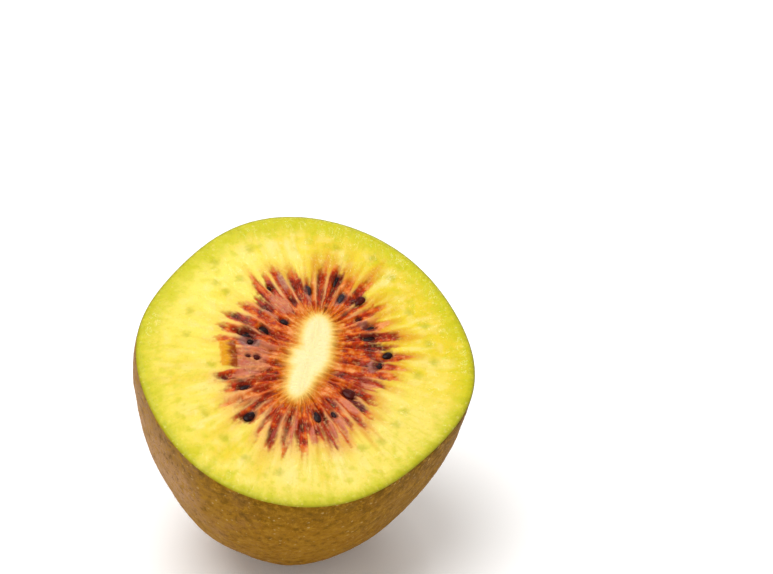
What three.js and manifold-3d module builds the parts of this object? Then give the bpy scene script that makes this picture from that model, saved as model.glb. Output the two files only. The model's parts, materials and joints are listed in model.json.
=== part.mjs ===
// Half of a red-fleshed kiwi fruit, cut across the middle and set down on its rounded stem end.
//
// The half is shaped in its own frame: the cut face lies in the plane z = 0, the stem end points to -Z,
// x runs across the narrow way and y across the wide way. It then leans back on its end and stands on a
// small flattened spot, whose centre is the origin. Millimetres, +Z up.

import * as THREE from 'three';
import { mergeVertices } from 'three/addons/utils/BufferGeometryUtils.js';
import Module from 'manifold-3d';

// Cross-section at the cut: a slightly uneven oval.
const HALF_WIDTH = 23.0;
const WIDE_OVER_NARROW = 1.094;
const UNEVENNESS = [
  { lobes: 3, cosine: 0.0084, sine: 0.0058 },
  { lobes: 4, cosine: 0.0067, sine: 0.0163 },
  { lobes: 5, cosine: 0.0019, sine: -0.001 },
  { lobes: 6, cosine: 0.0036, sine: 0.0047 },
];

// Side profile from the cut down to the stem end.
const DEPTH = 33.7;
const SHOULDER_POWER = 2.24;
const END_POWER = 1.98;
const END_OFFSET = { x: 2.09, y: 0.43 };

// Stem scar: a corky ring around a shallow disc.
const SCAR_RING_RADIUS = 4.0;
const SCAR_RING_WIDTH = 0.9;
const SCAR_RING_HEIGHT = 0.4;
const SCAR_DISC_RADIUS = 2.6;
const SCAR_DISC_DEPTH = 0.35;

// Stance: how far the cut face leans from level, the way it leans, and the turn about its own axis.
const LEAN_DEG = 22.7;
const LEAN_HEADING_DEG = 23.1;
const TURN_DEG = -37.7;
const FOOT_DEPTH = 0.38;

// Fineness of the mesh.
const SEGMENTS = 84;
const SIDE_RINGS = 22;
const END_RING_RADII = [9.2, 8.2, 7.2, 6.3, 5.6, 5.1, 4.6, 3.9, 3.2, 2.8, 2.4, 1.6, 0.8];
const MEAN_RADIUS = HALF_WIDTH * Math.sqrt(WIDE_OVER_NARROW);

// Radius of the cut face in the direction of angle, measured from the narrow way.
function sectionRadius(angle) {
  const narrow = WIDE_OVER_NARROW * Math.cos(angle);
  const oval = (HALF_WIDTH * WIDE_OVER_NARROW) / Math.hypot(narrow, Math.sin(angle));
  let uneven = 1;
  for (const { lobes, cosine, sine } of UNEVENNESS) {
    uneven += cosine * Math.cos(lobes * angle) + sine * Math.sin(lobes * angle);
  }
  return oval * uneven;
}

// Share of the full depth at which the body has narrowed to this share of its section.
function depthShare(narrowing) {
  return (1 - narrowing ** END_POWER) ** (1 / SHOULDER_POWER);
}

// Height of the stem scar over the smooth end, at a distance from its centre.
function scarRelief(distance) {
  const ring = SCAR_RING_HEIGHT * Math.exp(-(((distance - SCAR_RING_RADIUS) / SCAR_RING_WIDTH) ** 2));
  const disc = SCAR_DISC_DEPTH * Math.exp(-((distance / SCAR_DISC_RADIUS) ** 4));
  return ring - disc;
}

// Point of the skin where the body has narrowed to this share of its section.
function skinPoint(narrowing, angle) {
  const share = depthShare(narrowing);
  const radius = sectionRadius(angle) * narrowing;
  return [
    radius * Math.cos(angle) + END_OFFSET.x * share ** 2,
    radius * Math.sin(angle) + END_OFFSET.y * share ** 2,
    -DEPTH * share - scarRelief(narrowing * MEAN_RADIUS),
  ];
}

// Shares of the section, ring by ring from the cut to the stem end, closer together at the scar.
function ringShares() {
  const shares = [];
  const lastSideAngle = Math.acos((END_RING_RADII[0] + 1) / MEAN_RADIUS);
  for (let ring = 0; ring <= SIDE_RINGS; ring += 1) {
    shares.push(Math.cos((lastSideAngle * ring) / SIDE_RINGS));
  }
  for (const radius of END_RING_RADII) {
    shares.push(radius / MEAN_RADIUS);
  }
  return shares;
}

// Closed surface: a fan over the cut face, bands of skin, and a fan at the stem end.
function buildBody() {
  const shares = ringShares();
  const positions = [0, 0, 0];
  for (const share of shares) {
    for (let segment = 0; segment < SEGMENTS; segment += 1) {
      const point = skinPoint(share, (2 * Math.PI * segment) / SEGMENTS);
      positions.push(point[0], point[1], share === 1 ? 0 : point[2]);
    }
  }
  positions.push(...skinPoint(0, 0));

  const indices = [];
  const end = 1 + shares.length * SEGMENTS;
  const lastRing = end - SEGMENTS;
  for (let segment = 0; segment < SEGMENTS; segment += 1) {
    const next = (segment + 1) % SEGMENTS;
    indices.push(0, 1 + segment, 1 + next);
    for (let ring = 0; ring < shares.length - 1; ring += 1) {
      const upper = 1 + ring * SEGMENTS;
      const lower = upper + SEGMENTS;
      indices.push(upper + segment, lower + segment, lower + next);
      indices.push(upper + segment, lower + next, upper + next);
    }
    indices.push(lastRing + segment, end, lastRing + next);
  }

  const geometry = new THREE.BufferGeometry();
  geometry.setAttribute('position', new THREE.Float32BufferAttribute(positions, 3));
  geometry.setIndex(indices);
  return geometry;
}

// Turn from the half's own frame to the way it stands.
function stanceMatrix() {
  const heading = new THREE.Matrix4().makeRotationZ(THREE.MathUtils.degToRad(LEAN_HEADING_DEG));
  const lean = new THREE.Matrix4().makeRotationX(THREE.MathUtils.degToRad(LEAN_DEG));
  const turn = new THREE.Matrix4().makeRotationZ(THREE.MathUtils.degToRad(TURN_DEG));
  return heading.multiply(lean).multiply(turn);
}

// Points of a geometry as they lie once the half stands.
function standingPoints(geometry, stance) {
  const position = geometry.getAttribute('position');
  const points = [];
  for (let i = 0; i < position.count; i += 1) {
    points.push(new THREE.Vector3().fromBufferAttribute(position, i).applyMatrix4(stance));
  }
  return points;
}

// Solid made from a closed geometry, for cutting.
function toSolid(wasm, geometry) {
  const bare = geometry.clone();
  bare.deleteAttribute('normal');
  bare.deleteAttribute('uv');
  const merged = mergeVertices(bare);
  return new wasm.Manifold(new wasm.Mesh({
    numProp: 3,
    vertProperties: new Float32Array(merged.getAttribute('position').array),
    triVerts: new Uint32Array(merged.getIndex().array),
  }));
}

// Geometry made back from a solid.
function toGeometry(solid) {
  const mesh = solid.getMesh();
  const geometry = new THREE.BufferGeometry();
  geometry.setAttribute('position', new THREE.BufferAttribute(new Float32Array(mesh.vertProperties), 3));
  geometry.setIndex(new THREE.BufferAttribute(new Uint32Array(mesh.triVerts), 1));
  geometry.computeVertexNormals();
  return geometry;
}

const wasm = await Module();
wasm.setup();

const body = buildBody();
const stance = stanceMatrix();

// The flattened spot is a level slice off the lowest part of the skin.
const lowest = Math.min(...standingPoints(body, stance).map((point) => point.z));
const floor = lowest + FOOT_DEPTH;
const cutterSize = 4 * HALF_WIDTH;
const cutter = new THREE.BoxGeometry(cutterSize, cutterSize, cutterSize);
cutter.translate(0, 0, floor - cutterSize / 2);
cutter.applyMatrix4(stance.clone().invert());
const halfGeometry = toGeometry(toSolid(wasm, body).subtract(toSolid(wasm, cutter)));

// The origin goes to the middle of that spot.
const spot = new THREE.Box3().setFromPoints(
  standingPoints(halfGeometry, stance).filter((point) => point.z < floor + 0.01),
);
const spotCentre = spot.getCenter(new THREE.Vector3());

const half = new THREE.Mesh(
  halfGeometry,
  new THREE.MeshStandardMaterial({ color: 0x8f7040, roughness: 0.6, metalness: 0 }),
);
half.name = 'kiwi_half';

const group = new THREE.Group();
group.quaternion.setFromRotationMatrix(stance);
group.position.set(-spotCentre.x, -spotCentre.y, -floor);
group.add(half);

export default group;
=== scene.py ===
"""Half of a red-fleshed kiwi fruit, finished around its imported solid.

The half keeps its own frame: the cut face lies in z = 0, the stem end points to -z, x runs across the
narrow way and y across the wide way. Every shape is worked out there in millimetres and then carried to
the row frame, in metres. The cut face is drawn in elliptic coordinates about the long core, because the
rays of the fruit follow them: mu says how far out a point is, and nu says on which ray it lies.
"""

import json
import math

import bpy
import numpy as np
from bpy.props import FloatProperty, FloatVectorProperty, IntProperty, PointerProperty
from mathutils import Matrix, Vector


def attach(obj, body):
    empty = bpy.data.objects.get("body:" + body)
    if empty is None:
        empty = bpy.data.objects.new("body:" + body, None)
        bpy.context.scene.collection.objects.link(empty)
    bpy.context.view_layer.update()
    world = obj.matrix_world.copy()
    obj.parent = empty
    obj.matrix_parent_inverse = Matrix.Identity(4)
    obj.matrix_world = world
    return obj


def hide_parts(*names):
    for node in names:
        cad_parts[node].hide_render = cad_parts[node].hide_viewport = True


bl_info = {
    "name": "Red kiwi fruit half",
    "version": (1, 0, 0),
    "blender": (4, 5, 0),
    "location": "3D View > Sidebar > Kiwi",
    "description": "Builds the flesh, skin, seeds and down of a cut kiwi fruit around its solid",
    "category": "Add Mesh",
}

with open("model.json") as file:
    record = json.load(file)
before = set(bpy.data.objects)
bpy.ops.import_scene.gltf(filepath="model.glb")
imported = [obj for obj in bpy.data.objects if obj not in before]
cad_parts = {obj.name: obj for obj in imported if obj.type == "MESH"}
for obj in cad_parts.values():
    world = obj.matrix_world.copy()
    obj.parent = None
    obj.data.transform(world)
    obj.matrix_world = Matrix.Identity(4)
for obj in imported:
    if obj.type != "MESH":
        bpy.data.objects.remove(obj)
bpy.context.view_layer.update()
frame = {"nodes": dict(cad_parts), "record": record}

MM = 0.001
TAU = 2 * math.pi
HOLD_BACK = 0.87
BODY = "root"
NODE = "kiwi_half"

# Shape of the half, as its solid has it.
WIDE_OVER_NARROW = 1.094
UNEVENNESS = (
    (3, 0.0084, 0.0058),
    (4, 0.0067, 0.0163),
    (5, 0.0019, -0.001),
    (6, 0.0036, 0.0047),
)
SHOULDER_POWER = 2.24
END_POWER = 1.98
END_OFFSET = (2.09, 0.43)
TURN_DEG = -37.7
SCAR_RING_RADIUS = 4.0
SCAR_RING_WIDTH = 0.9
SCAR_RING_HEIGHT = 0.4
SCAR_DISC_RADIUS = 2.6
SCAR_DISC_DEPTH = 0.35

# The core of the cut face, and how far the core and the red star reach, every 22.5 degrees from +x.
CORE_CENTRE = (0.55, 0.1)
CORE_LEAN_DEG = 5.2
CORE_HALF_LENGTH = 7.3
CORE_HALF_WIDTH = 2.1
CORE_REACH = (3.0, 3.1, 3.8, 5.5, 7.8, 6.2, 2.9, 2.5, 2.8, 2.9, 3.3, 4.9, 8.0, 5.2, 3.5, 3.0)
STAR_REACH = (12.6, 13.8, 14.0, 15.4, 16.6, 16.2, 15.0, 12.5, 12.9, 12.2, 13.6, 15.8, 16.6, 16.6, 14.6, 13.0)

# Seeds in the cut: x, y, half width, half length, turn from the ray in degrees, coat.
SEEDS = (
    (0.1, 14.7, 0.60, 1.00, 0, "black"),
    (1.7, 11.9, 0.50, 0.90, 8, "veiled"),
    (4.25, 12.5, 0.55, 0.95, 0, "brown"),
    (-3.1, 11.4, 0.45, 0.85, 0, "veiled"),
    (-8.3, 9.7, 0.32, 0.40, 0, "black"),
    (-4.5, 4.7, 0.40, 0.65, 10, "purple"),
    (-6.75, 2.25, 0.62, 0.85, -20, "black"),
    (-8.6, 0.75, 0.75, 0.95, -15, "black"),
    (-7.75, -0.25, 0.40, 0.60, 20, "black"),
    (-6.2, -2.6, 0.38, 0.50, 0, "brown"),
    (-7.4, -2.9, 0.28, 0.38, 0, "brown"),
    (-6.1, -8.1, 0.40, 0.85, 0, "purple"),
    (-4.05, -12.75, 0.62, 1.00, 0, "black"),
    (4.5, -9.1, 0.50, 0.90, 0, "purple"),
    (6.6, -7.8, 0.35, 0.60, 0, "purple"),
    (7.45, -3.6, 0.75, 0.95, 0, "brown"),
    (9.95, 2.5, 0.50, 0.95, 60, "purple"),
    (10.6, 4.7, 0.55, 0.75, 20, "black"),
    (7.4, 6.75, 0.62, 0.95, -10, "black"),
    (6.9, 8.6, 0.50, 0.85, -10, "purple"),
    (5.0, 9.4, 0.30, 0.45, 0, "brown"),
)

# Pockets of dark red juice between the rays: x, y, half width, half length, strength.
POCKETS = (
    (-1.0, -11.3, 0.45, 1.4, 1.0),
    (3.0, -14.0, 0.50, 2.2, 1.0),
    (0.0, -15.3, 0.55, 1.5, 0.9),
    (-5.4, -14.4, 0.60, 1.1, 0.6),
    (-5.6, -11.0, 0.70, 1.7, 1.0),
    (-9.0, -9.9, 0.40, 0.8, 0.5),
    (6.0, -11.2, 0.65, 1.6, 1.0),
    (7.4, -13.0, 0.50, 1.0, 0.8),
    (6.3, -15.6, 0.35, 1.2, 0.5),
    (-4.5, 2.2, 0.65, 0.8, 0.9),
    (9.2, -0.7, 0.70, 1.6, 1.0),
    (7.5, -0.5, 0.50, 1.2, 0.9),
    (8.8, -2.1, 0.60, 1.4, 0.9),
    (4.3, -2.4, 0.30, 1.0, 0.7),
    (-5.2, -0.8, 0.80, 1.2, 0.7),
    (-4.3, -5.8, 0.50, 1.4, 0.9),
    (-4.0, -7.5, 0.60, 1.4, 0.9),
    (-2.2, 15.0, 0.40, 2.0, 0.8),
    (-3.6, 13.4, 0.40, 1.8, 0.7),
    (2.9, 15.0, 0.35, 1.2, 0.6),
    (-1.4, 12.6, 0.40, 1.6, 0.7),
    (5.6, 13.2, 0.40, 1.2, 0.6),
    (10.3, 8.2, 0.40, 1.0, 0.5),
    (11.0, 6.2, 0.45, 1.0, 0.6),
    (12.2, 5.3, 0.40, 1.4, 0.5),
    (-10.0, 10.2, 0.35, 1.1, 0.5),
    (-9.0, 7.6, 0.35, 1.3, 0.7),
    (-6.0, 10.3, 0.40, 1.2, 0.6),
    (10.8, -4.2, 0.60, 1.2, 0.8),
    (5.2, -6.6, 0.40, 1.4, 0.8),
    (9.8, -8.8, 0.50, 1.2, 0.6),
)

# Films of clear pulp over the rays, their pinkish grey partly their own colour and partly a painted sheen: x,
# y, half width, half length, share of grey painted sheen.
FILMS = (
    (-6.4, -3.6, 2.5, 2.1, 0.05),
    (-8.2, -0.8, 0.9, 1.1, 0.75),
    (-6.8, -6.4, 0.9, 1.5, 0.0),
    (-6.0, 7.4, 0.9, 2.0, 0.10),
    (-6.5, 5.0, 0.5, 1.4, 0.30),
    (-3.2, 11.0, 0.55, 1.5, 0.60),
    (1.8, 11.6, 0.45, 1.2, 0.50),
    (9.3, 1.6, 1.2, 0.6, 0.45),
    (9.5, 4.8, 0.4, 0.9, 0.60),
    (-6.4, -7.2, 0.8, 1.8, 0.15),
    (6.0, 8.4, 0.9, 0.8, 0.30),
    (8.3, -6.0, 0.45, 1.5, 0.0),
    (10.2, -1.6, 0.4, 1.3, 0.0),
    (8.0, -8.8, 0.5, 1.6, 0.05),
    (7.2, -10.6, 0.5, 1.4, 0.0),
    (-7.0, 11.6, 0.4, 1.2, 0.40),
    (2.2, -13.0, 0.3, 2.0, 0.0),
    (5.2, -13.2, 0.35, 2.0, 0.0),
)

# A bare chip of orange flesh at the star's edge: x, y, half length, half width, turn in degrees.
CHIP = (-10.05, -3.75, 2.25, 1.15, -67.0)

# Faint green bundles in the outer flesh: x, y.
BUNDLES = (
    (7.2, 18.2), (11.3, 13.3), (14.0, 11.7), (15.5, 8.8), (17.0, 6.0), (15.5, 3.0),
    (15.5, -3.8), (15.0, -6.5), (14.0, -10.0), (11.8, -12.0), (-13.0, 15.0), (-16.8, 10.8),
    (-15.5, 7.4), (-13.7, 6.5), (-17.3, 1.2), (-16.5, -2.8), (-11.6, -6.6), (-9.8, -14.8),
    (-6.0, -17.6), (-2.5, -19.6), (2.5, -20.2), (-12.6, 9.4), (3.8, 20.5), (-1.5, 20.3),
)


# ---------------------------------------------------------------------------------------------------
# Settings
# ---------------------------------------------------------------------------------------------------


def ink(code):
    """A display colour such as F5DC55 as the linear red, green and blue that Blender mixes."""
    shares = np.array([int(code[i : i + 2], 16) for i in (0, 2, 4)]) / 255
    return tuple(np.where(shares <= 0.04045, shares / 12.92, ((shares + 0.055) / 1.055) ** 2.4))


def length(label, words, default):
    """A size in metres."""
    return FloatProperty(name=label, description=words, default=default, min=0.0, unit="LENGTH", precision=5)


def tint(label, words, code):
    """A colour."""
    return FloatVectorProperty(
        name=label, description=words, default=ink(code), min=0.0, max=1.0, size=3, subtype="COLOR"
    )


class KiwiSizes(bpy.types.PropertyGroup):
    """Sizes of the finished half."""

    skin_thickness: length("Skin thickness", "Thickness of the skin", 0.35 * MM)
    pocket_depth: length("Pocket depth", "How far the juicy pockets sink between the rays", 0.32 * MM)
    socket_depth: length("Socket depth", "How far the flesh sinks round a seed", 0.30 * MM)
    seed_height: length("Seed height", "Half the thickness of a seed", 0.24 * MM)
    knife_waves: length("Knife waves", "Height of the unevenness that the knife left", 0.07 * MM)
    skin_waves: length("Skin waves", "Height of the skin's broad unevenness", 0.08 * MM)
    down_length: length("Down length", "Length of the short hairs", 0.17 * MM)
    down_width: length("Down width", "Width of a hair at its root", 0.04 * MM)
    down_count: IntProperty(name="Down count", description="Number of hairs", default=7000, min=0)
    locules: IntProperty(name="Locules", description="Chambers round the core", default=41, min=8)


class KiwiColours(bpy.types.PropertyGroup):
    """Colours of the finished half."""

    core: tint("Core", "Creamy middle of the cut", "FBE8AA")
    core_edge: tint("Core edge", "Yellower edge of the core", "F5CE66")
    yellow: tint("Yellow", "Outer flesh", "F1DA3C")
    pale: tint("Pale", "Palest outer flesh", "FBE768")
    gold: tint("Gold", "Ripest outer flesh", "E6C61A")
    cream: tint("Cream", "Pale fibres in the outer flesh", "FAE48A")
    lime: tint("Lime", "Band under the skin", "C9C510")
    green: tint("Green", "Greenest flesh under the skin", "9DA012")
    edge: tint("Edge", "Line where the flesh meets the skin", "8E7A08")
    bundle: tint("Bundle", "Green bundles in the outer flesh", "B4B010")
    glow: tint("Glow", "Orange flush round the star", "D98E10")
    pink: tint("Pink", "Palest pulp", "F09A58")
    tan: tint("Tan", "Pale pulp", "E07A2C")
    orange: tint("Orange", "Orange pulp", "D65E04")
    red: tint("Red", "Red pulp", "B63004")
    brown: tint("Brown", "Brown-red pulp", "8C2402")
    maroon: tint("Maroon", "Darkest juice", "560E04")
    wall: tint("Wall", "Walls between the pockets, near the outer flesh", "F0B47C")
    # The pinkish colour of clear pulp is partly its own and partly a painted sheen of reflected light.
    film: tint("Film", "Clear pulp over the rays", "CC7860")
    # The grey of clear pulp over a seed: partly the pulp's own colour and partly a painted sheen of reflected
    # light.
    veil: tint("Veil", "Greyest pulp, over a seed", "6E6068")
    chip: tint("Chip", "Bare orange chip", "E09A10")
    chip_shade: tint("Chip shade", "Darker side of the chip", "9A4206")
    seed: tint("Seed", "Ripe seed", "1E0504")
    skin: tint("Skin", "Skin", "946400")
    skin_light: tint("Light skin", "Lighter patches of skin", "AA7A1C")
    skin_dark: tint("Dark skin", "Darker, greener patches of skin", "5C4002")
    # Painted sheen: lighter, pinker skin on the flanks that stands for the fuzz's sheen in grazing light; the
    # same colour also tints the real sheen.
    blush: tint("Blush", "Warmer skin on the flanks", "BA8C5C")
    speck: tint("Speck", "Specks on the skin", "C6A66A")
    cork: tint("Cork", "Corky ring of the stem scar", "9C5A22")
    disc: tint("Disc", "Dry disc inside the ring", "66564A")
    down: tint("Down", "Short hairs", "B08A4A")


class KiwiStage(bpy.types.PropertyGroup):
    """Camera and lights."""

    elevation: FloatProperty(
        name="Elevation", description="Camera's height above level", default=math.radians(30), subtype="ANGLE"
    )
    distance: length("Distance", "From the camera to the cut face, along its view", 445 * MM)
    aim_right: length("Aim right", "How far right of the cut face the camera aims", 11.2 * MM)
    aim_up: length("Aim up", "How far above the cut face the camera aims", 9.5 * MM)
    lens: FloatProperty(name="Lens", description="Focal length in millimetres", default=150.0, min=1.0)
    key: FloatProperty(name="Key", description="Power of the key light", default=6.6, min=0.0, unit="POWER")
    rim: FloatProperty(name="Back", description="Power of the back light", default=0.8, min=0.0, unit="POWER")
    sparkle: FloatProperty(
        name="Sparkle", description="Power of the small light for glints", default=0.2, min=0.0, unit="POWER"
    )
    sky: FloatProperty(name="Sky", description="Brightness of the light all round", default=0.57, min=0.0)


def sizes():
    """The sizes that the panel shows."""
    return bpy.context.scene.kiwi_sizes


def colours():
    """The colours that the panel shows, by name, as arrays, held back a little because the lights are
    bright enough to turn the floor white."""
    group = bpy.context.scene.kiwi_colours
    return {name: HOLD_BACK * np.array(getattr(group, name)) for name in KiwiColours.__annotations__}


# ---------------------------------------------------------------------------------------------------
# The half's own frame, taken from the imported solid
# ---------------------------------------------------------------------------------------------------


def mount(name):
    """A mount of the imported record."""
    return next(entry for entry in frame["record"]["mounts"] if entry["name"] == name)


def section_shape(theta):
    """Radius of the cut over its half width: an oval, times one plus a few small waves round it."""
    oval = WIDE_OVER_NARROW / np.hypot(WIDE_OVER_NARROW * np.cos(theta), np.sin(theta))
    uneven = 1.0
    for lobes, cosine, sine in UNEVENNESS:
        uneven = uneven + cosine * np.cos(lobes * theta) + sine * np.sin(lobes * theta)
    return oval * uneven


FACE_CENTRE = np.array(mount("cut_face")["pos_m"])
FACE_NORMAL = Vector(mount("cut_face")["axis"]).normalized()
LEAN = math.acos(FACE_NORMAL.z)
HEADING = math.atan2(FACE_NORMAL.x, -FACE_NORMAL.y)
TURN = math.radians(TURN_DEG)
AXES = np.array(
    Matrix.Rotation(HEADING, 3, "Z") @ Matrix.Rotation(LEAN, 3, "X") @ Matrix.Rotation(TURN, 3, "Z")
)


def measured_shape():
    """Half width and depth in millimetres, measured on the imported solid: the rim's mean radius over the
    section's shape, and the farthest point under the cut."""
    vertices = frame["nodes"][NODE].data.vertices
    points = np.empty(len(vertices) * 3, np.float32)
    vertices.foreach_get("co", points)
    local = (points.reshape(-1, 3) - FACE_CENTRE) @ AXES / MM
    radius = np.hypot(local[:, 0], local[:, 1])
    rim = (np.abs(local[:, 2]) < 0.02) & (radius > 5)
    theta = np.arctan2(local[rim, 1], local[rim, 0])
    return float(np.mean(radius[rim] / section_shape(theta))), float(-local[:, 2].min())


HALF_WIDTH, DEPTH = measured_shape()
MEAN_RADIUS = HALF_WIDTH * math.sqrt(WIDE_OVER_NARROW)
FOCAL = math.sqrt(CORE_HALF_LENGTH**2 - CORE_HALF_WIDTH**2)


def section(theta):
    """Radius of the cut in millimetres."""
    return HALF_WIDTH * section_shape(theta)


def to_row(points):
    """Points of the half's own frame, in millimetres, in the row frame, in metres, eased onto the floor:
    a height below the floor is lifted to it, with a short smooth bend."""
    row = points @ AXES.T * MM + FACE_CENTRE
    bend = 0.12 * MM
    row[..., 2] = 0.5 * (row[..., 2] + np.sqrt(row[..., 2] ** 2 + bend**2))
    return row


# ---------------------------------------------------------------------------------------------------
# Numbers
# ---------------------------------------------------------------------------------------------------


def ease(low, high, value):
    """0 below low, 1 above high, and a smooth step between them."""
    t = np.clip((value - low) / (high - low), 0, 1)
    return t * t * (3 - 2 * t)


def blend(first, second, share):
    """first where share is 0 and second where it is 1."""
    share = np.clip(share, 0, 1)[..., None]
    return first * (1 - share) + second * share


def ripple(points, size, seed, octaves=1, waves=18):
    """A smooth random field, mostly between -1 and 1: a sum of sine waves in random directions with a
    wavelength of about size, and for each further octave the same at half the size and height."""
    rng = np.random.default_rng(seed)
    points = np.asarray(points, np.float32)
    total = np.zeros(points.shape[:-1], np.float32)
    for octave in range(octaves):
        direction = rng.normal(size=(waves, points.shape[-1]))
        direction /= np.linalg.norm(direction, axis=1, keepdims=True)
        direction *= rng.uniform(0.6, 1.4, (waves, 1)) * TAU / size * 2**octave
        for wave, start in zip(direction.astype(np.float32), rng.uniform(0, TAU, waves)):
            total += np.sin(points @ wave + np.float32(start)) * np.float32(0.5**octave)
    return total / (math.sqrt(waves / 2) * (2 - 0.5 ** (octaves - 1)))


def around(values, angle):
    """A smooth closed curve through values spaced evenly round the circle: their Fourier series."""
    terms = np.fft.rfft(values) / len(values)
    total = np.full_like(angle, terms[0].real)
    for lobes, term in enumerate(terms[1:], 1):
        weight = 1 if 2 * lobes == len(values) else 2
        total += weight * (term.real * np.cos(lobes * angle) - term.imag * np.sin(lobes * angle))
    return total


def rays(x, y):
    """Elliptic coordinates about the core: mu, nu and the millimetres in one unit of either. With the
    core's axis as the real axis, a point is focal times cosh(mu + i nu)."""
    lean = math.radians(CORE_LEAN_DEG)
    dx, dy = x - CORE_CENTRE[0], y - CORE_CENTRE[1]
    along = -dx * math.sin(lean) + dy * math.cos(lean)
    across = dx * math.cos(lean) + dy * math.sin(lean)
    w = np.arccosh((along + 1j * across) / FOCAL)
    return w.real, w.imag, FOCAL * np.abs(np.sinh(w))


def ray_point(mu, nu):
    """The point of the cut face with these elliptic coordinates: the inverse of rays."""
    lean = math.radians(CORE_LEAN_DEG)
    along = FOCAL * np.cosh(mu) * np.cos(nu)
    across = FOCAL * np.sinh(mu) * np.sin(nu)
    x = CORE_CENTRE[0] - along * math.sin(lean) + across * math.cos(lean)
    y = CORE_CENTRE[1] + along * math.cos(lean) + across * math.sin(lean)
    return x, y


# ---------------------------------------------------------------------------------------------------
# The pattern of the cut face
# ---------------------------------------------------------------------------------------------------


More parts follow.
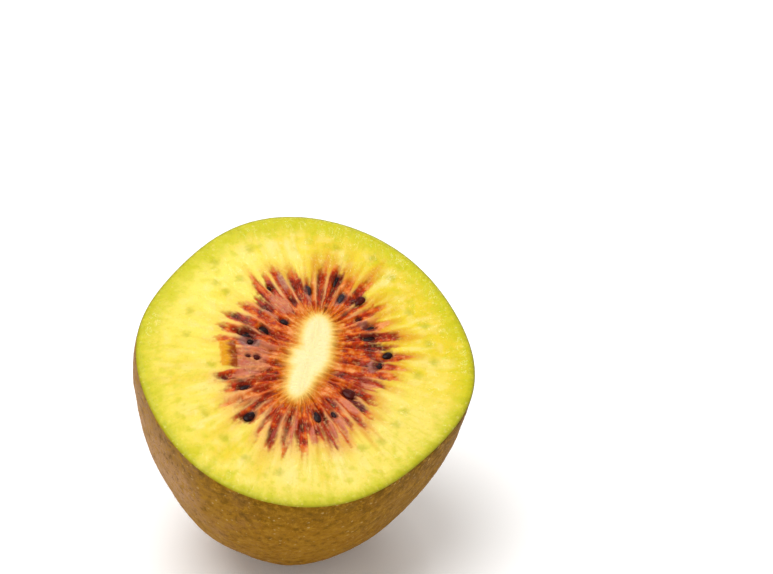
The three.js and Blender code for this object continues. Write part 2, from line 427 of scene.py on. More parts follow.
class CutFace:
    """Colour, height and wetness of the cut face at points x, y, in millimetres."""

    def __init__(self, x, y):
        self.x, self.y = x, y
        self.plane = np.stack([x, y], -1)
        self.theta, self.radius = np.arctan2(y, x), np.hypot(x, y)
        self.depth = section(self.theta) - self.radius
        self.mu, self.nu, self.scale = rays(x, y)
        self.from_core = self.core_distance()
        self.broad = self.along_rays(2.2, 5, 7)
        self.streak = self.along_rays(1.0, 7, 17, 2, 24)
        self.fine = self.along_rays(0.5, 7, 9, 2, 24)
        spread = ease(0.5, 3.5, self.scale)
        self.broad, self.streak, self.fine = self.broad * spread, self.streak * spread, self.fine * spread
        self.blot = ripple(self.plane, 6.0, 3, 2)
        self.grain = ripple(self.plane, 0.8, 13, 2, 24)
        self.star = around(STAR_REACH, self.theta)
        self.set_locules(sizes().locules)
        self.film = np.zeros_like(self.x)
        for x, y, wide, long, _sheen_greyness in FILMS:
            share = self.patch(x, y, wide, long, 0, self.film_edge(), 0.22)
            self.film = np.maximum(self.film, share)

    def core_distance(self):
        """Millimetres outside the core's outline: how much farther than it a point is from the centre, over
        the length of that difference's slope, so that it is nearly the shortest way."""
        dx, dy = self.x - CORE_CENTRE[0], self.y - CORE_CENTRE[1]
        angle, radius = np.arctan2(dy, dx), np.hypot(dx, dy)
        outline = around(CORE_REACH, angle)
        turn = (around(CORE_REACH, angle + 0.01) - outline) / 0.01
        return (radius - outline) / np.hypot(1, turn / outline)

    def along_rays(self, size, stretch, seed, octaves=1, waves=18):
        """A random field drawn out along the rays: size millimetres across them and stretch times that
        along them, at ten millimetres from the core."""
        flow = np.stack([np.cos(self.nu) * 10, np.sin(self.nu) * 10, self.mu * 10 / stretch], -1)
        return ripple(flow, size, seed, octaves, waves)

    def set_locules(self, count):
        """Numbers the chambers round the core and keeps, for each point, its place between two walls."""
        wander = 0.26 * self.along_rays(7, 2.0, 5)
        turn = self.nu / TAU * count + wander
        self.cell = np.floor(turn).astype(int) % count
        self.place = turn - np.floor(turn)
        self.wall_distance = np.minimum(self.place, 1 - self.place) * TAU / count * self.scale
        rng = np.random.default_rng(4)
        self.reach = self.star * self.per_cell(rng.uniform(0.86, 1.05, count))
        self.tone = self.per_cell(rng.uniform(-0.5, 0.5, count))
        self.strength = self.per_cell(rng.uniform(0, 1, count))

    def per_cell(self, values):
        """One value for each chamber, eased over the wall between neighbours."""
        after = ease(0.8, 1.2, self.place)
        before = ease(0.2, -0.2, self.place)
        count = len(values)
        here = values[self.cell] * (1 - after) * (1 - before)
        return here + values[(self.cell + 1) % count] * after + values[(self.cell - 1) % count] * before

    def patch(self, x, y, wide, long, turn=0.0, rough=0.0, soft=0.3):
        """1 in an oval lying along the ray through x, y, and 0 outside it, with a soft edge."""
        mu, nu, scale = rays(np.array(x), np.array(y))
        size = (self.scale + scale) / 2
        across = ((self.nu - nu + math.pi) % TAU - math.pi) * size
        along = (self.mu - mu) * size
        cosine, sine = math.cos(math.radians(turn)), math.sin(math.radians(turn))
        distance = np.hypot((across * cosine + along * sine) / wide, (along * cosine - across * sine) / long)
        near = np.hypot(self.x - x, self.y - y) < 3 * (wide + long)
        return np.where(near, ease(1 + soft, 1 - soft, distance + rough), 0.0)

    def film_edge(self):
        """How ragged the edge of a film is."""
        return 0.24 * self.broad + 0.18 * self.fine + 0.12 * self.grain

    def star_share(self):
        """1 inside the red star and 0 in the outer flesh; every chamber ends in a rounded tip."""
        round_tip = 0.11 * (2 * self.place - 1) ** 2
        ragged = 0.035 * self.streak + 0.03 * self.fine + 0.018 * self.grain
        ends = ease(1.07, 0.92, self.radius / self.reach + round_tip + ragged)
        return ends * (1 - 0.85 * self.wall_share() * ease(0.66, 0.98, self.radius / self.reach))

    def wall_share(self):
        """1 on a wall between two chambers; walls widen outwards, and most of all at the lower end."""
        out = ease(0.45, 0.95, self.radius / self.reach)
        wide = 0.11 + (0.14 + 0.30 * ease(-4, -10, self.y)) * out
        wide = wide * (0.6 + 0.9 * self.strength) * (1 + 0.25 * self.fine + 0.15 * self.grain)
        share = np.exp(-((self.wall_distance / wide) ** 2))
        share = share * ease(0.05, 0.55, self.strength + 0.2 * self.streak)
        return share * (1 - 0.8 * self.film)

    def core_share(self):
        """1 in the creamy core and 0 round it, with a soft fringe."""
        return ease(0.85, -0.65, self.from_core + 0.08 * self.streak * ease(-2, 0, self.from_core))

    def outer_colour(self, c):
        """Pale to golden yellow with cream fibres, turning lime and green towards the skin."""
        colour = blend(c["yellow"], c["pale"], 0.55 + 0.30 * self.blot - 0.035 * self.x)
        ripe = ease(0, 20, 0.5 * self.x + 0.9 * self.y + 3 * self.blot)
        colour = blend(colour, c["gold"], 0.58 * ripe)
        ripe_foot = ease(6, 18, -0.6 * self.x - 0.8 * self.y + 2 * self.blot)
        colour = blend(colour, c["gold"], 0.30 * ripe_foot)
        creamy = ease(3, 15, 0.85 * self.x - 0.5 * self.y + 2 * self.blot) * ease(4, -4, self.y)
        colour = blend(colour, c["cream"], 0.42 * creamy)
        ends = ease(0.25, 0.9, np.abs(np.sin(self.theta + 0.25)))
        outside = ease(0.92, 1.15, self.radius / self.star)
        inside = ease(2.6, 5.0, self.depth + 0.4 * self.streak)
        fibres = ease(-0.4, 1.6, 0.6 * self.broad + 0.8 * self.streak + 0.4 * self.fine) * inside * outside
        colour = blend(colour, c["cream"], fibres * (0.20 + 0.60 * ends))
        between = ease(0.2, 1.4, 0.5 * self.streak - self.broad) * ease(2.0, 4.0, self.depth)
        colour = blend(colour, c["gold"], 0.45 * between * ends)
        clouds = ripple(self.plane, 2.6, 23, 2)
        limy = 0.24 + 0.30 * ease(2, 12, np.abs(self.y))
        colour = blend(colour, c["lime"], limy * ease(0.2, 1.5, clouds) * ease(10, 3, self.depth))
        colour = blend(colour, c["cream"], 0.35 * ease(-0.2, -1.5, clouds) * ease(1.5, 4, self.depth))
        net = ease(0.2, 1.3, -self.fine - 0.4 * self.grain) * ease(1.0, 3.5, self.depth)
        colour = blend(colour, c["lime"], 0.28 * net * ease(4, -8, self.y))
        round_rim = np.stack([np.cos(self.theta) * 24, np.sin(self.theta) * 24, self.depth * 0.4], -1)
        spikes = ripple(round_rim, 2.0, 21, 2, 24)
        lime_side = 0.8 * np.cos(self.theta - 2.0)
        band = ease(4.1, 0.5, self.depth + 0.3 * spikes + 0.35 * self.blot + 0.25 * self.grain - lime_side)
        colour = blend(colour, c["lime"], 0.8 * band)
        green = ease(1.3, 0.1, self.depth + 0.2 * spikes + 0.15 * self.grain)
        colour = blend(colour, c["green"], 0.40 * green)
        colour = blend(colour, c["edge"], 0.45 * ease(0.45, 0.0, self.depth + 0.06 * self.grain))
        for x, y in BUNDLES:
            distance = np.hypot(self.x - x, self.y - y) + 0.12 * self.grain
            colour = blend(colour, c["bundle"], 0.6 * ease(1.1, 0.0, distance))
        glow = ease(1.24, 0.92, self.radius / self.reach + 0.07 * self.streak + 0.04 * self.broad)
        low = ease(-3, -10, self.y) * ease(1.15, 0.9, self.radius / self.reach)
        colour = blend(colour, c["wall"], 0.5 * low)
        side = ease(-8, 8, self.x + 0.6 * self.y + 3 * self.blot)
        return blend(colour, c["glow"], glow * (0.25 + 0.50 * side))

    def pulp_colour(self, c):
        """Pulp of the star, from pale walls over orange and red to maroon juice."""
        near_core = ease(3.0, 0.5, self.from_core)
        middle = np.exp(-(((self.radius / self.reach - 0.72) / 0.24) ** 2))
        patches = ripple(self.plane, 2.8, 27, 2)
        ripeness = 0.42 + 0.46 * self.tone + 0.17 * self.streak + 0.08 * self.fine + 0.13 * self.grain
        ripeness = ripeness + 0.27 * patches + 0.24 * middle - 0.28 * near_core
        stops = ("pink", "tan", "orange", "red", "brown", "maroon")
        levels = (-0.15, 0.06, 0.26, 0.52, 0.80, 1.15)
        colour = np.broadcast_to(c[stops[0]], self.x.shape + (3,))
        for low, high, name in zip(levels, levels[1:], stops[1:]):
            colour = blend(colour, c[name], ease(low, high, ripeness))
        out = self.radius / self.reach + 0.06 * self.fine
        wall_colour = blend(c["red"], c["orange"], ease(0.25, 0.50, out))
        wall_colour = blend(wall_colour, c["wall"], ease(0.45, 0.90, out))
        colour = blend(colour, wall_colour, self.wall_share() * (0.45 + 0.5 * self.strength))
        for x, y, wide, long, strength in POCKETS:
            share = self.patch(x, y, wide, long, 0, 0.25 * self.fine, 0.4) * strength
            juice = blend(c["red"], c["maroon"], 0.45 + 0.3 * self.fine)
            colour = blend(colour, juice, 0.85 * share)
        crumbs = ease(1.1, 1.9, self.fine + 0.9 * self.grain) * ease(0.5, 1.5, self.from_core)
        colour = blend(colour, c["pink"], 0.45 * crumbs)
        # Films of clear pulp: their pinkish grey is partly their own colour and partly a painted sheen,
        # greyer where more grey sheen is painted.
        for x, y, wide, long, sheen_greyness in FILMS:
            share = self.patch(x, y, wide, long, 0, self.film_edge(), 0.22)
            clear = blend(c["film"], c["pink"], 0.35 + 0.35 * self.streak + 0.15 * self.fine)
            clear = blend(clear, c["veil"], np.full_like(self.x, sheen_greyness))
            colour = blend(colour, clear, (0.74 + 0.14 * self.grain) * share)
        return colour

    def chip_share(self):
        """1 on the bare orange chip, and how far across it a point lies, from -1 to 1."""
        x, y, long, wide, turn = CHIP
        cosine, sine = math.cos(math.radians(turn)), math.sin(math.radians(turn))
        along = ((self.x - x) * cosine + (self.y - y) * sine) / long
        across = ((self.y - y) * cosine - (self.x - x) * sine) / wide
        rough = 0.03 * self.fine
        share = ease(1.06, 0.94, np.abs(along) + rough) * ease(1.1, 0.9, np.abs(across) + rough)
        return share, across

    def colour(self, c):
        """Colour of the whole cut face."""
        colour = blend(self.outer_colour(c), self.pulp_colour(c), self.star_share())
        share, across = self.chip_share()
        chip = blend(c["chip"], c["chip_shade"], ease(-0.25, 0.55, across + 0.15 * self.fine))
        colour = blend(colour, chip, share)
        for x, y, wide, long, turn, _coat in SEEDS:
            shade = self.patch(x, y, 1.35 * wide, 1.25 * long, turn, 0.12 * self.fine, 0.30)
            colour = blend(colour, c["maroon"], 0.8 * shade)
        colour = blend(colour, c["glow"], 0.6 * ease(1.9, 0.2, self.from_core + 0.25 * self.streak))
        core = blend(c["core_edge"], c["core"], ease(0.1, -1.3, self.from_core + 0.1 * self.streak))
        return blend(colour, core, self.core_share())

    def height(self):
        """Height over the plane of the cut, in millimetres: low waves from the knife, walls that stand
        between sunken pockets, a socket round each seed and an edge that rounds off at the skin."""
        s = sizes()
        star = self.star_share() * (1 - self.core_share())
        sunk = ease(0.0, 0.5, np.minimum(self.place, 1 - self.place)) * (0.5 + 0.5 * self.strength)
        knife = ripple(self.plane, 14.0, 31) + 0.3 * ripple(self.plane, 3.0, 32)
        height = s.knife_waves / MM * knife * ease(0, 3, self.depth)
        height = height - s.pocket_depth / MM * star * (sunk + 0.25 * self.fine + 0.25 * self.streak)
        for x, y, wide, long, strength in POCKETS:
            height = height - 0.22 * strength * self.patch(x, y, wide, long, 0, 0.0, 0.6) * star
        for x, y, wide, long, _sheen_greyness in FILMS:
            height = height + 0.12 * self.patch(x, y, wide, long, 0, 0.2 * self.broad, 0.4)
        for x, y, wide, long, turn, _coat in SEEDS:
            height = height - s.socket_depth / MM * self.patch(x, y, 1.5 * wide, 1.35 * long, turn, 0.0, 0.5)
        height = height + 0.15 * self.chip_share()[0]
        height = height + 0.12 * self.core_share() + 0.012 * self.fine + 0.008 * self.grain
        return height - 0.30 * ease(1.0, 0.0, self.depth) ** 2 - 0.06

    def wetness(self):
        """1 where juice stands and 0 on the drier outer flesh."""
        wet = 0.75 * self.star_share() + 0.2 * ease(0.2, 0.8, self.blot)
        for x, y, wide, long, _sheen_greyness in FILMS:
            wet = np.maximum(wet, self.patch(x, y, wide, long, 0, 0.2 * self.broad, 0.3))
        return np.clip(wet, 0, 1)


# ---------------------------------------------------------------------------------------------------
# Surfaces and meshes
# ---------------------------------------------------------------------------------------------------


def depth_share(narrowing):
    """Share of the depth at which the body has narrowed to this share of its section."""
    return (1 - narrowing**END_POWER) ** (1 / SHOULDER_POWER)


def scar_relief(distance):
    """Height of the stem scar over the smooth end: a ring less a disc, at a distance from its centre."""
    ring = SCAR_RING_HEIGHT * np.exp(-(((distance - SCAR_RING_RADIUS) / SCAR_RING_WIDTH) ** 2))
    return ring - SCAR_DISC_DEPTH * np.exp(-((distance / SCAR_DISC_RADIUS) ** 4))


def side_surface(theta, narrowing, inset=0.0):
    """Points under the skin by inset: the section at angle theta times narrowing, at the depth where the
    body has narrowed that far, slid towards the stem end by the square of that depth's share."""
    share = depth_share(narrowing)
    radius = (section(theta) - inset) * narrowing
    x = radius * np.cos(theta) + END_OFFSET[0] * share**2
    y = radius * np.sin(theta) + END_OFFSET[1] * share**2
    z = -(DEPTH - inset) * share - scar_relief(narrowing * MEAN_RADIUS)
    return np.stack(np.broadcast_arrays(x, y, z), -1)


def lattice_normals(rows):
    """Outward unit normals of rows of points that close round on themselves: the cross product of the
    steps down the rows and along them."""
    down = np.gradient(rows, axis=0)
    along = np.roll(rows, -1, axis=1) - np.roll(rows, 1, axis=1)
    normal = np.cross(down, along)
    return normal / np.maximum(np.linalg.norm(normal, axis=-1, keepdims=True), 1e-9)


def closed_rows(rows, first, last):
    """Vertices and triangles of a closed surface: a fan from the point first to the top row, bands
    between the rows, and a fan from the bottom row to the point last."""
    count, round_count = rows.shape[:2]
    vertices = np.concatenate([first[None], rows.reshape(-1, 3), last[None]])
    index = 1 + np.arange(count * round_count).reshape(count, round_count)
    after = np.roll(index, -1, axis=1)
    a, b, c, d = index[:-1], index[1:], after[1:], after[:-1]
    bands = np.stack([a, b, c, a, c, d], -1).reshape(-1, 3)
    top = np.stack([np.zeros_like(index[0]), index[0], after[0]], -1)
    end = np.full_like(index[-1], len(vertices) - 1)
    bottom = np.stack([index[-1], end, after[-1]], -1)
    return vertices, np.concatenate([top, bands, bottom])


def add_piece(name, vertices, triangles, attributes):
    """A mesh object in the row frame that rides on the body and stands for the solid with the others, with
    its attributes on its points."""
    mesh = bpy.data.meshes.new(name)
    mesh.from_pydata(vertices, [], triangles)
    for label, values in attributes.items():
        values = np.asarray(values, np.float32)
        if values.ndim == 1:
            mesh.attributes.new(label, "FLOAT", "POINT").data.foreach_set("value", values)
        elif label == "flow":
            mesh.attributes.new(label, "FLOAT_VECTOR", "POINT").data.foreach_set("vector", values.ravel())
        else:
            rgba = np.concatenate([values, np.ones((len(values), 1), np.float32)], 1)
            mesh.attributes.new(label, "FLOAT_COLOR", "POINT").data.foreach_set("color", rgba.ravel())
    mesh.shade_smooth()
    mesh.validate()
    piece = bpy.data.objects.new(name, mesh)
    bpy.context.scene.collection.objects.link(piece)
    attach(piece, BODY)
    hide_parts(NODE)
    return piece


# ---------------------------------------------------------------------------------------------------
# Finishes
# ---------------------------------------------------------------------------------------------------


class Finish:
    """A material under construction."""

    def __init__(self, name):
        self.material = bpy.data.materials.new(name)
        self.material.use_nodes = True
        self.nodes = self.material.node_tree.nodes
        self.links = self.material.node_tree.links
        self.shader = self.nodes["Principled BSDF"]

    def add(self, kind, inputs=None, **settings):
        """Adds a node, sets it up and joins or fills its inputs."""
        node = self.nodes.new(kind)
        for key, value in settings.items():
            setattr(node, key, value)
        self.fill(node, inputs or {})
        return node

    def fill(self, node, inputs):
        """Joins an input to a socket, or gives it a value."""
        for key, value in inputs.items():
            if isinstance(value, bpy.types.NodeSocket):
                self.links.new(value, node.inputs[key])
            else:
                node.inputs[key].default_value = value

    def attribute(self, name, output="Fac"):
        """One of the piece's own attributes."""
        return self.add("ShaderNodeAttribute", attribute_name=name).outputs[output]

    def place(self):
        """Object coordinates, in metres."""
        return self.add("ShaderNodeTexCoord").outputs["Object"]

    def noise(self, vector, size, detail=2.0, roughness=0.5):
        """Noise with features of about size, in the units of vector."""
        inputs = {"Vector": vector, "Scale": 1 / size, "Detail": detail, "Roughness": roughness}
        return self.add("ShaderNodeTexNoise", inputs).outputs["Fac"]

    def spots(self, vector, size, reach):
        """1 in small round spots spaced about size apart, of random radius up to reach of that."""
        cells = self.add("ShaderNodeTexVoronoi", {"Vector": vector, "Scale": 1 / size})
        random = self.add("ShaderNodeSeparateColor", {"Color": cells.outputs["Color"]}).outputs["Red"]
        limit = self.maths("MULTIPLY", self.maths("POWER", random, 3.0), reach)
        return self.span(self.maths("SUBTRACT", limit, cells.outputs["Distance"]), 0.0, 0.04)

    def maths(self, operation, first, second=0.0):
        """A sum, product, power and so on of two numbers."""
        return self.add("ShaderNodeMath", {0: first, 1: second}, operation=operation).outputs[0]

    def span(self, value, low, high, to_low=0.0, to_high=1.0):
        """value carried from low to high onto to_low to to_high, smoothly and without overshoot."""
        inputs = {"Value": value, "From Min": low, "From Max": high, "To Min": to_low, "To Max": to_high}
        node = self.add("ShaderNodeMapRange", inputs, interpolation_type="SMOOTHSTEP")
        return node.outputs["Result"]

    def mix(self, first, second, share, blend_type="MIX"):
        """Two colours mixed by share."""
        inputs = {0: share, 6: opaque(first), 7: opaque(second)}
        node = self.add("ShaderNodeMix", inputs, data_type="RGBA", blend_type=blend_type)
        return node.outputs[2]

    def bump(self, height, distance, strength=1.0, under=None):
        """A bumped normal, on top of another one if it is given."""
        inputs = {"Height": height, "Distance": distance, "Strength": strength}
        if under is not None:
            inputs["Normal"] = under
        return self.add("ShaderNodeBump", inputs).outputs["Normal"]


def opaque(colour):
    """A colour with full alpha, or a socket as it is."""
    return colour if isinstance(colour, bpy.types.NodeSocket) else (*colour[:3], 1.0)


def flesh_finish(c):
    """Wet, translucent flesh: the drawn colour, livened by grain, fibres and pale cells by the skin."""
    finish = Finish("kiwi_flesh")
    place, flow = finish.place(), finish.attribute("flow", "Vector")
    grain = finish.noise(place, 0.55 * MM, 3.0, 0.6)
    cells = finish.noise(place, 0.28 * MM, 2.0)
    fibres = finish.noise(flow, 0.7, 4.0, 0.6)
    rim, wet = finish.attribute("rim"), finish.attribute("wet")
    drawn = finish.attribute("tint", "Color")
    colour = finish.mix(drawn, c["cream"], finish.span(grain, 0.54, 0.76, 0.0, 0.26))
    colour = finish.mix(colour, (0.86, 0.80, 0.70), finish.span(fibres, 0.42, 0.25, 0.0, 0.35), "MULTIPLY")
    colour = finish.mix(colour, (0.84, 0.84, 0.60), finish.span(cells, 0.44, 0.26, 0.0, 0.55), "MULTIPLY")
    pale_cells = finish.maths("MULTIPLY", finish.spots(place, 0.6 * MM, 0.42), rim)
    colour = finish.mix(colour, c["cream"], finish.maths("MULTIPLY", pale_cells, 0.22))
    rough = finish.span(wet, 0.0, 1.0, 0.40, 0.22)
    rough = finish.maths("ADD", rough, finish.span(grain, 0.3, 0.7, -0.06, 0.10))
    normal = finish.bump(fibres, 0.10 * MM, 0.5)
    normal = finish.bump(cells, 0.07 * MM, 0.8, normal)
    finish.fill(
        finish.shader,
        {
            "Base Color": colour,
            "Roughness": rough,
            "Normal": normal,
            "Subsurface Weight": 0.22,
            "Subsurface Radius": (1.0, 0.55, 0.18),
            "Subsurface Scale": 0.9 * MM,
            "Specular IOR Level": 0.08,
            "Coat Weight": 0.09,
            "Coat Roughness": 0.12,
        },
    )
    return finish.material


def skin_finish(c):
    """Thin brown skin with a soft sheen, a painted sheen on both flanks, a painted shade on the right side,
    mottling, pale specks and, at the end, a corky stem scar.
    """
    finish = Finish("kiwi_skin")
    place = finish.place()
    broad = finish.noise(place, 9 * MM, 3.0, 0.55)
    mottle = finish.noise(place, 1.6 * MM, 4.0, 0.65)
    grain = finish.noise(place, 0.35 * MM, 3.0, 0.7)
    cork, disc = finish.attribute("cork"), finish.attribute("disc")
    across = finish.add("ShaderNodeSeparateXYZ", {"Vector": place}).outputs["X"]
    across = finish.maths("ADD", across, finish.span(broad, 0.3, 0.7, -5 * MM, 5 * MM))
    # Painted sheen: the skin turns pinker and lighter towards both flanks, by its place across the half,
    # where grazing light gives the fuzz its sheen.
    left, right = finish.span(across, -6 * MM, -22 * MM), finish.span(across, 22 * MM, 28 * MM, 0.0, 0.6)
    flanks = finish.maths("ADD", left, right)
    colour = finish.mix(c["skin"], c["skin_light"], finish.span(broad, 0.38, 0.70, 0.0, 0.6))
    colour = finish.mix(colour, c["blush"], flanks)
    colour = finish.mix(colour, c["skin_dark"], finish.maths("MULTIPLY", finish.attribute("near_cut"), 0.35))
    scurf = finish.noise(place, 1.0 * MM, 5.0, 0.80)
    # Painted shade: the skin darkens towards the right side, away from the key light.
    colour = finish.mix(colour, c["skin_dark"], finish.span(across, 6 * MM, 16 * MM, 0.0, 0.25))
    colour = finish.mix(colour, c["skin_dark"], finish.span(mottle, 0.48, 0.72, 0.0, 0.55))
    colour = finish.mix(colour, c["skin_light"], finish.span(scurf, 0.50, 0.60, 0.0, 0.90))
    colour = finish.mix(colour, c["skin_dark"], finish.span(scurf, 0.46, 0.36, 0.0, 0.60))
    flecks = finish.spots(place, 0.9 * MM, 0.17)
    colour = finish.mix(colour, c["skin_dark"], finish.maths("MULTIPLY", flecks, 0.7))
    specks = finish.maths("MULTIPLY", finish.spots(place, 0.65 * MM, 0.38), finish.span(scurf, 0.40, 0.54))
    colour = finish.mix(colour, c["speck"], finish.maths("MULTIPLY", specks, 0.60))
    bark = finish.mix(c["cork"], c["skin_dark"], finish.span(mottle, 0.45, 0.62))
    colour = finish.mix(colour, bark, cork)
    dry = finish.mix(c["disc"], c["skin_dark"], finish.span(grain, 0.45, 0.65))
    colour = finish.mix(colour, dry, disc)
    normal = finish.bump(mottle, 0.10 * MM, 0.45)
    normal = finish.bump(scurf, 0.12 * MM, 0.9, normal)
    finish.fill(
        finish.shader,
        {
            "Base Color": colour,
            "Roughness": finish.span(mottle, 0.3, 0.7, 0.52, 0.68),
            "Normal": normal,
            "Specular IOR Level": 0.04,
            "Sheen Weight": 0.03,
            "Sheen Roughness": 0.40,
            "Sheen Tint": (*c["blush"], 1.0),
        },
    )
    return finish.material


def seed_finish(c):
    """Hard glossy seed coat with fine pits, under a skin of juice."""
    finish = Finish("kiwi_seeds")
    place = finish.place()
    pits = finish.noise(place, 0.16 * MM, 2.0)
    sheen = finish.noise(place, 0.6 * MM, 2.0)
    coat = finish.attribute("tint", "Color")
    colour = finish.mix(coat, c["brown"], finish.span(sheen, 0.55, 0.8, 0.0, 0.35))
    finish.fill(
        finish.shader,
        {
            "Base Color": colour,
            "Roughness": finish.span(pits, 0.35, 0.7, 0.28, 0.46),
            "Normal": finish.bump(pits, 0.03 * MM, 0.8),
            "Specular IOR Level": 0.05,
            "Coat Weight": 0.12,
            "Coat Roughness": 0.08,
        },
    )
    return finish.material


def down_finish(c):
    """Short dry hairs, paler towards some tips."""
    finish = Finish("kiwi_down")
    shade = finish.noise(finish.place(), 1.1 * MM, 2.0)
    finish.fill(
        finish.shader,
        {
            "Base Color": finish.mix(c["down"], c["skin"], finish.span(shade, 0.35, 0.65)),
            "Roughness": 0.6,
            "Specular IOR Level": 0.3,
        },
    )
    return finish.material


def floor_finish():
    """Smooth pale floor."""
    finish = Finish("floor")
    cloud = finish.noise(finish.place(), 0.4, 2.0)
    finish.fill(
        finish.shader,
        {
            "Base Color": finish.mix((0.955, 0.953, 0.948), (0.94, 0.938, 0.933), cloud),
            "Roughness": 0.55,
            "Specular IOR Level": 0.2,
            "Emission Color": (1.0, 0.99, 0.98, 1.0),
            "Emission Strength": 0.08,
        },
    )
    return finish.material


# ---------------------------------------------------------------------------------------------------
# Operators
# ---------------------------------------------------------------------------------------------------


class KIWI_OT_flesh(bpy.types.Operator):
    """Add the flesh with its drawn and carved cut face"""

    bl_idname = "kiwi.flesh"
    bl_label = "Add flesh"

    COLUMNS = 640
    CORE_ROWS = 4
    FACE_ROWS = 130
    SIDE_ROWS = 12
    RIM_INSET = 0.05
    GAP_UNDER_SKIN = 0.35
    FIRST_MU = 0.10

    def execute(self, context):
        """Rows of the face run out along the rays from the core to the skin; rows of the side follow the
        inner face of the skin down to the stem end."""
        under_skin = sizes().skin_thickness / MM + self.GAP_UNDER_SKIN
        angle = np.arange(self.COLUMNS) * TAU / self.COLUMNS
        nu = math.pi / 2 - angle
        rim_mu = self.rim_mu(nu, self.RIM_INSET)
        shares = np.linspace(0, 1, self.FACE_ROWS)[:, None]
        x, y = ray_point(self.FIRST_MU + shares * (rim_mu - self.FIRST_MU), nu[None])
        inner = np.linspace(0, 1, self.CORE_ROWS + 1)[1:-1, None]
        x0, y0 = CORE_CENTRE
        x = np.concatenate([x0 + inner * (x[:1] - x0), x])
        y = np.concatenate([y0 + inner * (y[:1] - y0), y])
        face = CutFace(np.append(x, x0), np.append(y, y0))
        height = face.height()
        rows = np.stack([x, y, height[:-1].reshape(x.shape)], -1)

        theta = np.arctan2(y[-1], x[-1])
        narrowing = np.cos(np.linspace(0, math.pi / 2, self.SIDE_ROWS + 1))[1:-1, None]
        side = side_surface(theta[None], narrowing, under_skin)
        bottom = side_surface(np.array(0.0), np.array(0.0), under_skin)
        centre = np.array([x0, y0, height[-1]])
        vertices, triangles = closed_rows(np.concatenate([rows, side]), centre, bottom)

        c = colours()
        plane = face.plane[:-1].reshape(-1, 2)
        tints = face.colour(c)
        below = len(vertices) - 1 - len(plane)
        order = np.concatenate([[len(plane)], np.arange(len(plane))])
        attributes = {
            "tint": np.concatenate([tints[order], np.tile(c["lime"], (below, 1))]),
            "wet": np.concatenate([face.wetness()[order], np.zeros(below)]),
            "rim": np.concatenate([ease(5.0, 1.5, face.depth)[order], np.ones(below)]),
            "flow": np.concatenate([self.flow(face)[order], np.zeros((below, 3))]),
        }
        piece = add_piece("flesh", to_row(vertices), triangles, attributes)
        piece.data.materials.append(flesh_finish(c))
        return {"FINISHED"}

    @staticmethod
    def rim_mu(nu, inset):
        """Where each ray meets the skin, by halving the interval."""
        low, high = np.full_like(nu, 0.3), np.full_like(nu, 3.0)
        for _step in range(40):
            middle = (low + high) / 2
            x, y = ray_point(middle, nu)
            outside = np.hypot(x, y) > section(np.arctan2(y, x)) - inset
            high = np.where(outside, middle, high)
            low = np.where(outside, low, middle)
        return (low + high) / 2

    @staticmethod
    def flow(face):
        """Coordinates drawn out along the rays, for fibres."""
        return np.stack([np.cos(face.nu) * 10, np.sin(face.nu) * 10, face.mu * 1.6], -1)


class KIWI_OT_skin(bpy.types.Operator):
    """Add the thin skin with its stem scar"""

    bl_idname = "kiwi.skin"
    bl_label = "Add skin"

    COLUMNS = 540
    OUTER_ROWS = 120
    INNER_ROWS = 24
    LIP_DEPTH = 0.46
    LIP_RISE = 0.12

    def execute(self, context):
        """The inner face runs up from the stem end to the cut, over a rounded lip, and the outer face
        runs back down."""
        s = sizes()
        thickness = s.skin_thickness / MM
        theta = np.arange(self.COLUMNS)[None] * TAU / self.COLUMNS
        inner_angle = np.linspace(math.pi / 2, 0.02, self.INNER_ROWS + 1)[1:, None]
        inner = side_surface(theta, np.cos(inner_angle), thickness)
        outer_angle = np.linspace(0.02, math.pi / 2, self.OUTER_ROWS + 1)[1:-1, None]
        narrowing = np.cos(outer_angle)
        outer = side_surface(theta, narrowing)
        lip = self.lip(theta, thickness, self.LIP_DEPTH, self.LIP_RISE)

        edge = ease(0.0, 2.0, -outer[..., 2])
        distance = narrowing * MEAN_RADIUS + 0.0 * theta
        cork = ease(5.6, 4.9, distance + 0.5 * ripple(outer, 2.0, 45, 2)) * ease(2.2, 2.9, distance)
        disc = ease(3.0, 2.5, distance)
        relief = s.skin_waves / MM * edge * ripple(outer, 13.0, 41)
        relief = relief + edge * (0.022 * ripple(outer, 3.2, 42) + 0.012 * ripple(outer, 1.0, 43))
        round_scar = np.broadcast_arrays(np.cos(theta) * 4, np.sin(theta) * 4, distance * 0.3)
        cracks = np.stack(round_scar, -1)
        relief = relief + cork * 0.16 * ripple(cracks, 0.8, 44, 2)
        relief = relief + disc * 0.06 * np.cos(distance * TAU / 0.75)
        outer = outer + lattice_normals(outer) * relief[..., None]

        rows = np.concatenate([inner, lip, outer])
        first = side_surface(np.array(0.0), np.array(0.0), thickness)
        last = side_surface(np.array(0.0), np.array(0.0))
        vertices, triangles = closed_rows(rows, first, last)
        above = 1 + (len(inner) + len(lip)) * self.COLUMNS
        near_cut = ease(7.0, 0.5, -outer[..., 2])
        attributes = {
            "near_cut": np.concatenate([np.ones(above), near_cut.ravel(), [0.0]]),
            "cork": np.concatenate([np.zeros(above), cork.ravel(), [0.0]]),
            "disc": np.concatenate([np.zeros(above), disc.ravel(), [1.0]]),
        }
        piece = add_piece("skin", to_row(vertices), triangles, attributes)
        piece.data.materials.append(skin_finish(colours()))
        return {"FINISHED"}

    @staticmethod
    def lip(theta, thickness, depth, rise):
        """The cut edge of the skin: a half round between its inner and outer faces, that starts at a depth
        just under the edge of the flesh and rises a little in the middle."""
        turn = np.linspace(math.pi, 0, 5)[:, None]
        radius = section(theta) - thickness / 2 + np.cos(turn) * thickness / 2
        z = -depth + np.sin(turn) * rise
        return np.stack(np.broadcast_arrays(radius * np.cos(theta), radius * np.sin(theta), z), -1)


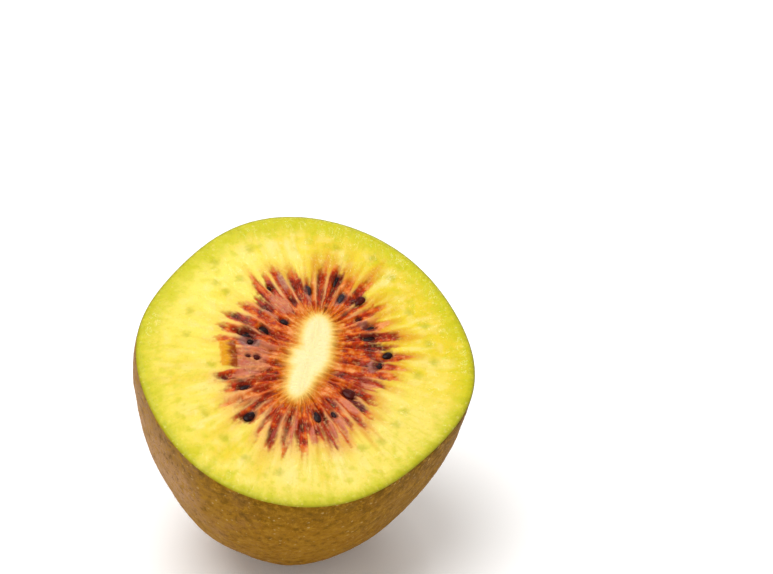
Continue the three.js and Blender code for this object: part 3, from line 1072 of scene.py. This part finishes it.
class KIWI_OT_seeds(bpy.types.Operator):
    """Add the seeds that lie in the cut"""

    bl_idname = "kiwi.seeds"
    bl_label = "Add seeds"

    ROUND = 22
    ROWS = 14

    def execute(self, context):
        """Each seed is a flattened drop whose point looks to the core."""
        c = colours()
        coats = {
            "black": c["seed"],
            "brown": blend(c["maroon"], c["seed"], np.array(0.35)),
            # The grey in these seed coats is a little painted sheen, taken from the grey of the clear pulp.
            "purple": blend(c["seed"], c["veil"], np.array(0.05)),
            "veiled": blend(c["seed"], c["veil"], np.array(0.18)),
        }
        vertices, triangles, tints, count = [], [], [], 0
        for x, y, wide, long, turn, coat in SEEDS:
            points, faces = self.drop(x, y, wide, long, turn)
            vertices.append(points)
            triangles.append(faces + count)
            tints.append(np.tile(coats[coat], (len(points), 1)))
            count += len(points)
        piece = add_piece(
            "seeds",
            to_row(np.concatenate(vertices)),
            np.concatenate(triangles),
            {"tint": np.concatenate(tints)},
        )
        piece.data.materials.append(seed_finish(c))
        return {"FINISHED"}

    def drop(self, x, y, wide, long, turn):
        """A drop lying in the face: an oval that swells and shrinks along the axis as a power of sin(v),
        with the blunt end outwards, sunk a little into its socket."""
        height = sizes().seed_height / MM
        v = np.linspace(0, math.pi, self.ROWS + 2)[1:-1, None]
        u = -np.arange(self.ROUND)[None] * TAU / self.ROUND
        swell = np.sin(v) ** 0.9 * (1 + 0.22 * np.cos(v))
        along = long * np.cos(v) + 0 * u
        across = wide * swell * np.cos(u)
        up = height * swell * np.sin(u)
        first, last = np.array([0.0, long, 0.0]), np.array([0.0, -long, 0.0])
        points, faces = closed_rows(np.stack([across, along, up], -1), first, last)

        mu, nu, _scale = rays(np.array(x), np.array(y))
        x1, y1 = ray_point(mu + 0.01, nu)
        outward = math.atan2(y1 - y, x1 - x) + math.radians(turn) - math.pi / 2
        cosine, sine = math.cos(outward), math.sin(outward)
        across, along, up = points.T
        turned = [across * cosine - along * sine, across * sine + along * cosine, up]
        turned = np.stack(turned, -1)
        floor = CutFace(np.array([x]), np.array([y])).height()[0]
        return turned + np.array([x, y, floor - 0.20 * height]), faces


class KIWI_OT_down(bpy.types.Operator):
    """Add the short hairs on the skin"""

    bl_idname = "kiwi.down"
    bl_label = "Add down"

    def execute(self, context):
        """Each hair is a three-sided spike with one bend, rooted in the skin and leaning to the stem."""
        s = sizes()
        rng = np.random.default_rng(8)
        count = s.down_count
        theta = rng.uniform(0, TAU, count)
        cosine = rng.uniform(0.0, 0.985, count)
        narrowing = np.sqrt(1 - cosine**2)
        root = side_surface(theta, narrowing, 0.03)
        step = 1e-3
        down = side_surface(theta, np.maximum(narrowing - step, 0.01), 0.03) - root
        along = side_surface(theta + step, narrowing, 0.03) - root
        normal = np.cross(down, along)
        normal /= np.linalg.norm(normal, axis=1, keepdims=True)
        down /= np.linalg.norm(down, axis=1, keepdims=True)
        side = np.cross(normal, down)
        lean = (0.9 * down + rng.normal(0, 0.55, (count, 1)) * side + rng.normal(0, 0.3, (count, 1)) * down)
        long = (s.down_length / MM * rng.uniform(0.45, 1.1, count))[:, None]
        knee = root + long * 0.5 * (normal * 0.8 + lean * 0.5)
        tip = knee + long * 0.5 * (normal * 0.35 + lean * 0.9)

        turn = np.arange(3) * TAU / 3
        ring = np.cos(turn)[None, :, None] * side[:, None] + np.sin(turn)[None, :, None] * down[:, None]
        width = s.down_width / MM
        base = root[:, None] + ring * width / 2
        middle = knee[:, None] + ring * width * 0.35
        vertices = np.concatenate([base, middle, tip[:, None]], 1).reshape(-1, 3)
        foot = [[0, 1, 2]]
        shaft = [[0, 4, 1], [0, 3, 4], [1, 5, 2], [1, 4, 5], [2, 3, 0], [2, 5, 3]]
        point = [[3, 6, 4], [4, 6, 5], [5, 6, 3]]
        corner = np.array(foot + shaft + point)
        triangles = (corner[None] + 7 * np.arange(count)[:, None, None]).reshape(-1, 3)
        piece = add_piece("down", to_row(vertices), triangles, {})
        piece.data.materials.append(down_finish(colours()))
        return {"FINISHED"}


class KIWI_OT_stage(bpy.types.Operator):
    """Add the floor, the lights and the camera"""

    bl_idname = "kiwi.stage"
    bl_label = "Add stage"

    def execute(self, context):
        """A level floor under the resting spot, a soft key light from above, a weaker light from behind, a
        small one for glints and an even sky."""
        scene, stage = context.scene, context.scene.kiwi_stage
        mesh = bpy.data.meshes.new("floor")
        span = 15.0
        corners = [(-span, -span, 0), (span, -span, 0), (span, span, 0), (-span, span, 0)]
        mesh.from_pydata(corners, [], [(0, 1, 2, 3)])
        mesh.materials.append(floor_finish())
        floor = bpy.data.objects.new("floor", mesh)
        scene.collection.objects.link(floor)

        self.light(scene, "key", (-0.20, -0.13, 0.85), 0.80, stage.key)
        self.light(scene, "back", (0.15, 0.60, 0.45), 0.40, stage.rim)
        self.light(scene, "sparkle", (0.18, 0.24, 0.72), 0.05, stage.sparkle)
        world = bpy.data.worlds.new("sky")
        world.use_nodes = True
        background = world.node_tree.nodes["Background"]
        background.inputs["Color"].default_value = (1.0, 0.995, 0.985, 1.0)
        background.inputs["Strength"].default_value = stage.sky
        scene.world = world
        scene.view_settings.view_transform = "Standard"
        self.camera(scene, stage)
        return {"FINISHED"}

    @staticmethod
    def light(scene, name, place, size, power):
        """A round area light that looks at the half."""
        data = bpy.data.lights.new(name, "AREA")
        data.shape = "DISK"
        data.size = size
        data.energy = power
        lamp = bpy.data.objects.new(name, data)
        lamp.location = place
        lamp.rotation_euler = (Vector(FACE_CENTRE) - Vector(place)).to_track_quat("-Z", "Y").to_euler()
        scene.collection.objects.link(lamp)

    @staticmethod
    def camera(scene, stage):
        """A long lens above the front of the half, aimed a little right of its cut face and above it."""
        data = bpy.data.cameras.new("camera")
        data.lens = stage.lens
        data.sensor_width = 36.0
        data.clip_start = 0.01
        back = Vector((0.0, -math.cos(stage.elevation), math.sin(stage.elevation)))
        up = Vector((0.0, math.sin(stage.elevation), math.cos(stage.elevation)))
        aim = Vector(FACE_CENTRE) + Vector((stage.aim_right, 0.0, 0.0)) + up * stage.aim_up
        camera = bpy.data.objects.new("camera", data)
        camera.location = aim + back * stage.distance
        camera.rotation_euler = (math.pi / 2 - stage.elevation, 0.0, 0.0)
        scene.collection.objects.link(camera)
        scene.camera = camera


class KIWI_PT_panel(bpy.types.Panel):
    """Lists the kiwi fruit's operators and settings"""

    bl_label = "Kiwi fruit half"
    bl_idname = "KIWI_PT_panel"
    bl_space_type = "VIEW_3D"
    bl_region_type = "UI"
    bl_category = "Kiwi"

    def draw(self, context):
        """One button for each operator, and every setting under its group's title."""
        for operator in OPERATORS:
            self.layout.operator(operator.bl_idname)
        for title, name, group in SETTINGS:
            box = self.layout.box()
            box.label(text=title)
            for key in group.__annotations__:
                box.prop(getattr(context.scene, name), key)


OPERATORS = (KIWI_OT_stage, KIWI_OT_flesh, KIWI_OT_skin, KIWI_OT_seeds, KIWI_OT_down)
SETTINGS = (
    ("Sizes", "kiwi_sizes", KiwiSizes),
    ("Colours", "kiwi_colours", KiwiColours),
    ("Stage", "kiwi_stage", KiwiStage),
)


def register():
    """Adds the classes and the scene's settings."""
    for _title, name, group in SETTINGS:
        bpy.utils.register_class(group)
        setattr(bpy.types.Scene, name, PointerProperty(type=group))
    for item in (*OPERATORS, KIWI_PT_panel):
        bpy.utils.register_class(item)


def unregister():
    """Takes them away again."""
    for item in reversed((*OPERATORS, KIWI_PT_panel)):
        bpy.utils.unregister_class(item)
    for _title, name, group in reversed(SETTINGS):
        delattr(bpy.types.Scene, name)
        bpy.utils.unregister_class(group)


def main():
    """Builds everything."""
    register()
    bpy.ops.kiwi.stage()
    bpy.ops.kiwi.flesh()
    bpy.ops.kiwi.skin()
    bpy.ops.kiwi.seeds()
    bpy.ops.kiwi.down()


if __name__ == "__main__":
    main()
